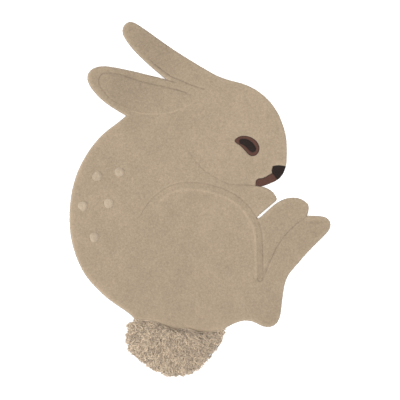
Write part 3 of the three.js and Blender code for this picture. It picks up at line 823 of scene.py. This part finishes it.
def back_dot(name, node, rng):
    """A tuft of longer pile that spreads a little over the pile round it, with a sheared
    crown, a little dip in its middle, and a form that no two share."""
    (loop,) = curves[node]
    middle = loop.mean(axis=0)
    bearing = np.arctan2(*(loop - middle).T[::-1])
    two, three = rng.uniform(0, 2 * math.pi, 2)
    lobes = (np.cos(2 * bearing + two) + np.cos(3 * bearing + three)) / 2
    spread = 1 + DOT_UNEVEN * (1 + lobes)
    loops = [middle + (loop - middle) * spread[:, None]]
    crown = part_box(node)[1].z - PILE_TOP

    def height_at(places):
        away, _ = nearest(loops[0], places)
        up = 1 - (1 - np.clip(away / DOT_SIDE, 0, 1)) ** 2
        from_middle = np.linalg.norm(places - middle, axis=1)
        dip = DOT_DIP["depth"] * np.exp(-((from_middle / DOT_DIP["width"]) ** 2))
        heights = PILE_TOP + DOT_LIP + (crown - DOT_LIP) * up - dip + pile_clouds(places)
        return heights, np.zeros(len(places)), np.full(len(places), DOT_PALER)

    piece = pile_piece(name, loops, [], height_at, rng, spacing=DOT_TUFT, open_pile=DOT_OPEN)
    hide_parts(node)
    return piece


def backing_cloth():
    """The plain backing under the pile, out to the rim."""
    (loop,) = outlines_at("pile_ground", BACKING_LEVEL)
    outline = curve_through(loop, BACKING_STEP, True)
    inwards = left_of(outline, True)
    count = len(outline)
    rows = [(WALL_INSET, BACKING_TOP - BACKING_UNDER), (0.0, BACKING_LEVEL), (BACKING_TURN, 0.0)]
    corners = np.concatenate([np.c_[outline + inwards * inset, np.full(count, z)] for inset, z in rows])
    flat = flat_faces([outline])
    ring = np.arange(count)
    faces = [flat, flat[:, ::-1] + 2 * count, band(ring, ring + count), band(ring + count, ring + 2 * count)]
    piece = piece_from("backing_cloth", corners, np.concatenate(faces))
    return piece


def yarns(centres, radii, sides):
    """Tubes round many yarn paths at once, closed at both ends. Gives their corners and
    faces, and how far along its yarn each corner is, from 0 to 1."""
    count, steps, _ = centres.shape
    along = unit(np.gradient(centres, axis=1))
    beside = unit(np.cross(along, UP))
    over = np.cross(beside, along)
    turns = 2 * math.pi * np.arange(sides) / sides
    rings = (
        centres[:, :, None]
        + radii[:, :, None, None] * np.cos(turns)[None, None, :, None] * beside[:, :, None]
        + radii[:, :, None, None] * np.sin(turns)[None, None, :, None] * over[:, :, None]
    )
    tips = centres[:, -1] + along[:, -1] * radii[:, -1, None] * YARN_TIP
    corners = np.concatenate([rings.reshape(count, -1, 3), tips[:, None]], axis=1)
    stride = steps * sides + 1
    side = np.arange(sides)
    one = [band(step * sides + side, (step + 1) * sides + side) for step in range(steps - 1)]
    last = (steps - 1) * sides + side
    one.append(np.c_[last, np.full(sides, steps * sides), np.roll(last, -1)])
    one.append(np.c_[np.full(sides - 2, 0), side[1:-1], side[2:]])
    faces = np.concatenate(one)[None] + stride * np.arange(count)[:, None, None]
    step_of = np.r_[np.repeat(np.arange(steps), sides), steps - 1]
    return corners.reshape(-1, 3), faces.reshape(-1, 3), np.tile(step_of / (steps - 1), count)


def edge_tufts(rng):
    """Yarn ends that stand out along the open rim of the rug."""
    outlines = outlines_at("pile_ground", OUTLINE_LEVEL)
    loops = [curve_through(loop, EDGE_TUFT["apart"], True) for loop in outlines]
    roots = np.concatenate(loops)
    outwards = -np.concatenate([left_of(loop, True) for loop in loops])
    open_rim = nearest(neighbours_of("pile_ground"), roots)[0] > 2 * SEAM_REACH
    roots, outwards = roots[open_rim], outwards[open_rim]
    straight_out = np.arctan2(outwards[:, 1], outwards[:, 0])
    count = len(roots)
    room = PILE_TOP - EDGE_TUFT["below"] - BACKING_TOP
    centres = []
    for level in EDGE_TUFT["levels"]:
        bearing = straight_out + rng.normal(0, EDGE_TUFT["astray"], count)
        lean = np.stack([np.cos(bearing), np.sin(bearing)], axis=1)
        reach = EDGE_TUFT["reach"] * rng.uniform(*EDGE_TUFT["length"], count)
        uneven = rng.uniform(-EDGE_TUFT["uneven"], EDGE_TUFT["uneven"], count)
        height = BACKING_TOP + room * (level + uneven)
        path = []
        for share in EDGE_TUFT["path"]:
            place = roots - outwards * EDGE_TUFT["behind"] + lean * (share * reach)[:, None]
            path.append(np.c_[place, height + share * EDGE_TUFT["rise"] * reach])
        centres.append(np.stack(path, axis=1))
    centres = np.concatenate(centres)
    radii = EDGE_TUFT["radius"] * np.array(EDGE_TUFT["taper"]) * np.ones((len(centres), 1))
    corners, faces, _ = yarns(centres, radii, EDGE_TUFT["sides"])
    sides_only = {"leaning": np.ones(len(corners)), "buried": np.zeros(len(corners))}
    piece = piece_from("edge_tufts", corners, faces, nap=nap(corners), **sides_only)
    return piece


class Bed:
    """The height of the tail's shag, read off the frame's tail on an even grid and evened
    out, so that the yarn can be laid over it. Rays fall on it from above, and a place stays
    just inside the last cell."""

    CELL = 3 * MM
    MARGIN = 24 * MM
    EVENING = 2
    ABOVE = 1.0
    LAST = 1.001

    def __init__(self, node):
        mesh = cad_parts[node].data
        faces = [tuple(face.vertices) for face in mesh.polygons]
        tree = BVHTree.FromPolygons([corner.co for corner in mesh.vertices], faces)
        low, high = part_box(node)
        self.low = np.array(low)[:2] - self.MARGIN
        size = np.array(high)[:2] + self.MARGIN - self.low
        self.cells = np.ceil(size / self.CELL).astype(int) + 1
        heights = np.zeros(self.cells)
        for i in range(self.cells[0]):
            for j in range(self.cells[1]):
                x, y = self.low + self.CELL * np.array((i, j))
                hit = tree.ray_cast(Vector((x, y, self.ABOVE)), Vector((0, 0, -1)))[0]
                heights[i, j] = hit.z if hit else 0.0
        for _ in range(self.EVENING):
            heights = self.evened(heights)
        self.heights = heights

    @staticmethod
    def evened(heights):
        """Each height as the mean of itself and its eight neighbours."""
        wide = np.pad(heights, 1, mode="edge")
        rows, columns = heights.shape
        return sum(wide[i:i + rows, j:j + columns] for i in range(3) for j in range(3)) / 9

    def at(self, places):
        """The bed's height at some places, between its grid points too."""
        steps = np.clip((places[..., :2] - self.low) / self.CELL, 0, self.cells - self.LAST)
        whole = steps.astype(int)
        part = steps - whole
        i, j = whole[..., 0], whole[..., 1]
        u, v = part[..., 0], part[..., 1]
        h = self.heights
        return ((1 - u) * (1 - v) * h[i, j] + u * (1 - v) * h[i + 1, j]
                + (1 - u) * v * h[i, j + 1] + u * v * h[i + 1, j + 1])


def swirl(places, across, salt):
    """A number between -1 and 1 that changes slowly over the tail. The salt picks a slice."""
    return np.array([noise.noise(Vector((x / across, y / across, salt))) for x, y in places[:, :2]])


def droop(places):
    """How far the tail's yarn has slid down, most of all at the tail's lower end."""
    low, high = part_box("tail")
    below_seam = np.clip(high.y - places[:, 1], 0, None) / (high.y - low.y)
    return STRAND_DROOP * below_seam**2


def strand_tips(outline, rng):
    """Where the strands end: scattered over the tail and a little past its rim."""
    low = outline.min(axis=0) - STRAND_FRINGE
    high = outline.max(axis=0) + STRAND_FRINGE
    grid = even_grid(low, high, STRAND_APART, rng)
    grid = grid[inside(grid, [outline]) | (nearest(outline, grid)[0] < STRAND_FRINGE)]
    tips = grid[rng.permutation(len(grid))[:STRAND_COUNT]]
    tips += rng.normal(0, STRAND_JITTER, tips.shape)
    tips[:, 1] -= droop(tips)
    return tips


def turned(tips, turn, rng):
    """An angle for each strand, partly like its neighbours' and partly its own."""
    own = rng.normal(0, turn["own"], len(tips))
    return own + turn["together"] * swirl(tips, turn["across"], turn["salt"])


def strands_from_above(tips, steps, rng):
    """The strands' paths seen from above, roots first: they point away from the middle of
    the seam, with some going their own way, and bend and wave."""
    low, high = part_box("tail")
    away = tips - np.array([(low.x + high.x) / 2, high.y])
    heading = np.arctan2(away[:, 1], away[:, 0]) + turned(tips, STRAND_HEADING, rng)
    length = rng.uniform(*STRAND_LENGTH, len(tips))
    bend = turned(tips, STRAND_BEND, rng)
    wave = rng.uniform(*STRAND_WAVE, len(tips))
    phase = rng.uniform(0, 2 * math.pi, len(tips))
    turning = heading[:, None] + bend[:, None] * (steps - 1)
    ahead = np.stack([np.cos(turning), np.sin(turning)], axis=2)
    sideways = np.stack([-np.sin(turning), np.cos(turning)], axis=2)
    stride = STRAND_STRIDE * length / (STRAND_STEPS - 1)
    backwards = np.cumsum(ahead[:, ::-1], axis=1)
    paths = tips[:, None] - (backwards - backwards[:, :1])[:, ::-1] * stride[:, None, None]
    crimp = wave[:, None] * np.sin(phase[:, None] + STRAND_CRIMP * steps)
    return paths + sideways * crimp[..., None]


def strands_from_the_side(paths, steps, bed, rng):
    """The strands' heights, as each comes out of the backing, arches and lies down on the
    bed or on others, and their radii."""
    count = len(paths)
    arch = rng.uniform(*STRAND_ARCH["height"], count)[:, None]
    layer = rng.uniform(*STRAND_LAYER, count)[:, None]
    heights = STRAND_REST * bed.at(paths) + arch * np.sin(math.pi * steps) ** STRAND_ARCH["curve"]
    heights += layer * steps - STRAND_ROOT * (1 - steps) ** 3
    taper = np.interp(steps, STRAND_TAPER["shares"], STRAND_TAPER["radii"])
    radii = STRAND_RADIUS * rng.uniform(*STRAND_THICKNESS, count)[:, None] * taper
    return np.maximum(heights, radii + STRAND_FLOOR), radii


def strands_in_place(paths, heights, radii, outline):
    """Which strands keep clear of the short pile and near the tail."""
    body = curves["pile_ground"][0]
    places = paths.reshape(-1, 2)
    to_body, _ = nearest(body, places)
    within = inside(places, [body])
    low = heights.reshape(-1) < PILE_TOP + STRAND_CLEAR * radii.reshape(-1)
    clash = (within | (to_body < SEAM_CLEAR)) & low | within & (to_body > STRAND_OVERLAP)
    past_rim = nearest(outline, places)[0] > STRAND_STRAY + droop(places)
    stray = ~inside(places, [outline]) & ~within & past_rim
    return ~(clash | stray).reshape(len(paths), -1).any(axis=1)


def tail_strands(bed, rng):
    """Cut yarn laid over the bed: the paths of its strands and their radii."""
    outline = curve_through(outlines_at("tail", BACKING_LEVEL)[0], TUFT, True)
    steps = np.linspace(0, 1, STRAND_STEPS)
    tips = strand_tips(outline, rng)
    paths = strands_from_above(tips, steps, rng)
    heights, radii = strands_from_the_side(paths, steps, bed, rng)
    kept = strands_in_place(paths, heights, radii, outline)
    return np.concatenate([paths, heights[..., None]], axis=2)[kept], radii[kept]


def evened_outline(loop, times):
    """A loop without its small points and notches."""
    for _ in range(times):
        loop = (np.roll(loop, -1, axis=0) + 2 * loop + np.roll(loop, 1, axis=0)) / 4
    return loop


def laid_tail(rng):
    """The shag: an uneven bed, and strands in a few pieces over it."""
    bed = Bed("tail")
    outline = curve_through(outlines_at("tail", TAIL_BED["level"])[0], TAIL_BED["tuft"], True)
    body = curves["pile_ground"][0]
    beside_body = (nearest(body, outline)[0] < SEAM_BANK["hold"])[:, None]
    loops = [np.where(beside_body, outline, evened_outline(outline, TAIL_BED["evening"]))]

    def height_at(places):
        bank = PILE_TOP - SEAM_BANK["below"] - SEAM_BANK["fall"] * nearest(body, places)[0]
        under_strands = TAIL_BED["share"] * bed.at(places) - TAIL_BED["below"]
        heights = np.maximum(np.maximum(under_strands, bank), BACKING_TOP)
        return heights, np.ones(len(places)), np.zeros(len(places))

    ground = pile_piece("tail_bed", loops, [], height_at, rng, spacing=TAIL_BED["tuft"])
    corners = np.array([corner.co for corner in ground.data.vertices])
    # The bed is painted shade: dark where it shows in the gaps between the strands, paler towards the seam
    near_seam = np.clip(1 - nearest(body, corners)[0] / SEAM_BANK["pale"], 0, 1)
    for mark, (far, more) in TAIL_BED_MARKS.items():
        add_mark(ground, mark, far + more * near_seam)
    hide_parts("tail")
    pieces = [ground]
    centres, radii = tail_strands(bed, rng)
    shade = rng.uniform(0, 1, len(centres))
    for part in range(STRAND_PARTS):
        mine = np.arange(part, len(centres), STRAND_PARTS)
        corners, faces, along = yarns(centres[mine], radii[mine], STRAND_SIDES)
        each = len(corners) // len(mine)
        piece = piece_from(f"tail_strands_{part + 1}", corners, faces, along=along,
                           shade=np.repeat(shade[mine], each))
        pieces.append(piece)
    return pieces


class Value:
    """A number, colour or vector that varies over a surface: a shader node's output."""

    def __init__(self, finish, socket):
        self.finish = finish
        self.socket = socket

    def maths(self, operation, first, second):
        return self.finish.node("ShaderNodeMath", {"operation": operation}, {0: first, 1: second})

    def __add__(self, other):
        return self.maths("ADD", self, other)

    __radd__ = __add__

    def __sub__(self, other):
        return self.maths("SUBTRACT", self, other)

    def __rsub__(self, other):
        return self.maths("SUBTRACT", other, self)

    def __mul__(self, other):
        return self.maths("MULTIPLY", self, other)

    __rmul__ = __mul__

    def __pow__(self, other):
        return self.maths("POWER", self, other)

    def __rpow__(self, other):
        return self.maths("POWER", other, self)


class Finish:
    """A material. Each of its nodes is added by one method, which gives the node's output."""

    def __init__(self, name):
        self.material = bpy.data.materials.new(name)
        self.material.use_nodes = True
        self.tree = self.material.node_tree
        self.tree.nodes.clear()

    def node(self, kind, settings=None, sockets=None, output=0):
        made = self.tree.nodes.new(kind)
        for setting, choice in (settings or {}).items():
            setattr(made, setting, choice)
        for socket, source in (sockets or {}).items():
            if isinstance(source, Value):
                self.tree.links.new(source.socket, made.inputs[socket])
            else:
                made.inputs[socket].default_value = source
        return Value(self, made.outputs[output]) if made.outputs else None

    def place(self):
        return self.node("ShaderNodeTexCoord", output="Object")

    def mark(self, name):
        return self.node("ShaderNodeAttribute", {"attribute_name": name}, output="Fac")

    def cloud(self, across, detail=2.0):
        """Soft noise between 0 and 1 with lumps of the given width."""
        sockets = {"Vector": self.place(), "Scale": 1 / across, "Detail": detail}
        return self.node("ShaderNodeTexNoise", {}, sockets, output="Fac")

    def mixed(self, share, first, second, blend="MIX"):
        """A colour between two others."""
        return self.node(
            "ShaderNodeMix",
            {"data_type": "RGBA", "blend_type": blend},
            {MIX_SHARE: share, MIX_FIRST: first, MIX_SECOND: second},
            output=MIX_COLOUR,
        )

    def toned(self, colour, level):
        """A colour made paler or darker by a level."""
        tone = self.node("ShaderNodeCombineColor", {}, {"Red": level, "Green": level, "Blue": level})
        return self.mixed(1.0, colour, tone, blend="MULTIPLY")

    def wool(self, colour, bump, sheen):
        """Ends the material in soft, dull wool."""
        sockets = {"Height": bump, "Strength": BUMP_STRENGTH, "Distance": MM}
        bumped = self.node("ShaderNodeBump", {}, sockets)
        return self.surface({"Base Color": colour, "Normal": bumped, "Sheen Weight": sheen, **WOOL})

    def surface(self, sockets):
        """Ends the material in one shader."""
        shader = self.node("ShaderNodeBsdfPrincipled", {}, sockets)
        self.node("ShaderNodeOutputMaterial", {}, {"Surface": shader})
        return self.material


def linear(colour):
    """A colour given as it looks on a screen, from 0 to 255."""
    def one(level):
        level /= 255
        if level <= SRGB["toe"]:
            return level / SRGB["slope"]
        return ((level + SRGB["offset"]) / (1 + SRGB["offset"])) ** SRGB["power"]

    return (*(one(level) for level in colour), 1.0)


def tuft_ends(finish):
    """The cut ends of tufts: how far each point is from the middle of its tuft, and a
    number that each tuft keeps for itself."""
    def cells(output):
        sockets = {"Vector": finish.place(), "Scale": 1 / TUFT}
        return finish.node("ShaderNodeTexVoronoi", {"feature": "F1"}, sockets, output)

    own = finish.node("ShaderNodeSeparateColor", {}, {"Color": cells("Color")}, output="Red")
    return cells("Distance"), own


def cut_pile(name, yarn):
    """Short cut pile: yarn ends on top, the paler sides of the yarn where it leans or is cut away, and
    painted shade, a dark colour, where shade falls in cuts, creases and seams."""
    finish = Finish(name)
    from_middle, own = tuft_ends(finish)
    fibre = finish.cloud(PILE_FIBRE)
    # This mark holds the paler and darker areas, and also painted light: a painted highlight beside some
    # carved lines and on the channel's shoulder, and paler pile towards the open rim
    level = PILE_TONE["level"] + finish.mark("nap")
    for cloud in PILE_TONE_CLOUDS:
        level = level + cloud["weight"] * finish.cloud(cloud["across"], cloud["detail"])
    level = level + PILE_TONE["own"] * own + PILE_TONE["fibre"] * fibre
    level = level - PILE_TONE["edge"] * from_middle
    colour = finish.mixed(finish.mark("leaning"), linear(yarn["tips"]), linear(yarn["sides"]))
    # Painted shade: the colour goes towards a dark one in cuts, creases, the channel and along the coloured
    # yarns' edges
    colour = finish.mixed(finish.mark("buried"), colour, linear(yarn["crevice_shade"]))
    bump = PILE_BUMP["own"] * own + PILE_BUMP["fibre"] * fibre - PILE_BUMP["edge"] * from_middle
    return finish.wool(finish.toned(colour, level), bump, yarn["sheen"])


def long_shag(name, yarn):
    """Long yarn: painted shade makes it dark at its root, deep in the shag, and paler towards its end, with
    every strand its own tone.
    """
    finish = Finish(name)
    fibre = finish.cloud(SHAG_FIBRE)
    share = finish.mark("along") ** SHAG_TONE["fade"]
    colour = finish.mixed(share, linear(yarn["root"]), linear(yarn["tip"]))
    level = SHAG_TONE["level"] + SHAG_TONE["own"] * finish.mark("shade") + SHAG_TONE["fibre"] * fibre
    return finish.wool(finish.toned(colour, level), fibre, yarn["sheen"])


def plain_backing(name, colour):
    """Woven cloth without sheen."""
    finish = Finish(name)
    weave = finish.cloud(BACKING_WEAVE)
    return finish.wool(finish.mixed(weave, colour, BACKING_THREAD), weave, 0.0)


def paint(piece, material):
    """Gives a piece one material."""
    piece.data.materials.clear()
    piece.data.materials.append(material)


rng = np.random.default_rng(SEED)
sand_wool = cut_pile("sand wool, cut pile", SAND)
face_wool = {
    "brown_wool": cut_pile("brown wool, cut pile", BROWN),
    "black_wool": cut_pile("near-black wool, cut pile", BLACK),
}
sand_shag = long_shag("sand wool, long shag", SHAG)

ground = sand_pile(rng)
paint(ground, sand_wool)
face = []
for node, slot in FACE.items():
    face.append(coloured_pile(node, rng))
    paint(face[-1], face_wool[slot])
dots = [back_dot(f"dot_pile_{index + 1}", node, rng) for index, node in enumerate(dot_nodes)]
for dot in dots:
    paint(dot, sand_wool)
backing = backing_cloth()
paint(backing, plain_backing("backing cloth", linear(SAND["sides"])))
ends = edge_tufts(rng)
paint(ends, sand_wool)
shag = laid_tail(rng)
for piece in shag:
    paint(piece, sand_shag)

bpy.ops.mesh.primitive_plane_add(size=FLOOR_SIZE, location=(0, 0, 0))
floor = bpy.context.object
floor.name = "studio_floor"
paint(floor, Finish("studio floor").surface(FLOOR))

scene = bpy.context.scene
world = bpy.data.worlds.new("studio")
world.use_nodes = True
background = world.node_tree.nodes["Background"]
background.inputs["Color"].default_value = WHITE
background.inputs["Strength"].default_value = WORLD_LIGHT
scene.world = world
scene.view_settings.view_transform = "Standard"


def softbox(name, place, size, power):
    """A round soft lamp that faces the rug."""
    light = bpy.data.lights.new(name, "AREA")
    light.shape = "DISK"
    light.size = size
    light.energy = power
    lamp = bpy.data.objects.new(name, light)
    lamp.location = place
    lamp.rotation_euler = (-Vector(place)).to_track_quat("-Z", "Y").to_euler()
    scene.collection.objects.link(lamp)


for name, box in SOFTBOXES.items():
    softbox(name, **box)

camera = bpy.data.objects.new("camera", bpy.data.cameras.new("camera"))
camera.data.lens = LENS
camera.data.sensor_width = SENSOR
camera.data.clip_end = VIEW_DEPTH
camera.location = (*PHOTO_MIDDLE, PILE_TOP + PHOTO_WIDTH * LENS / SENSOR)
scene.collection.objects.link(camera)
scene.camera = camera
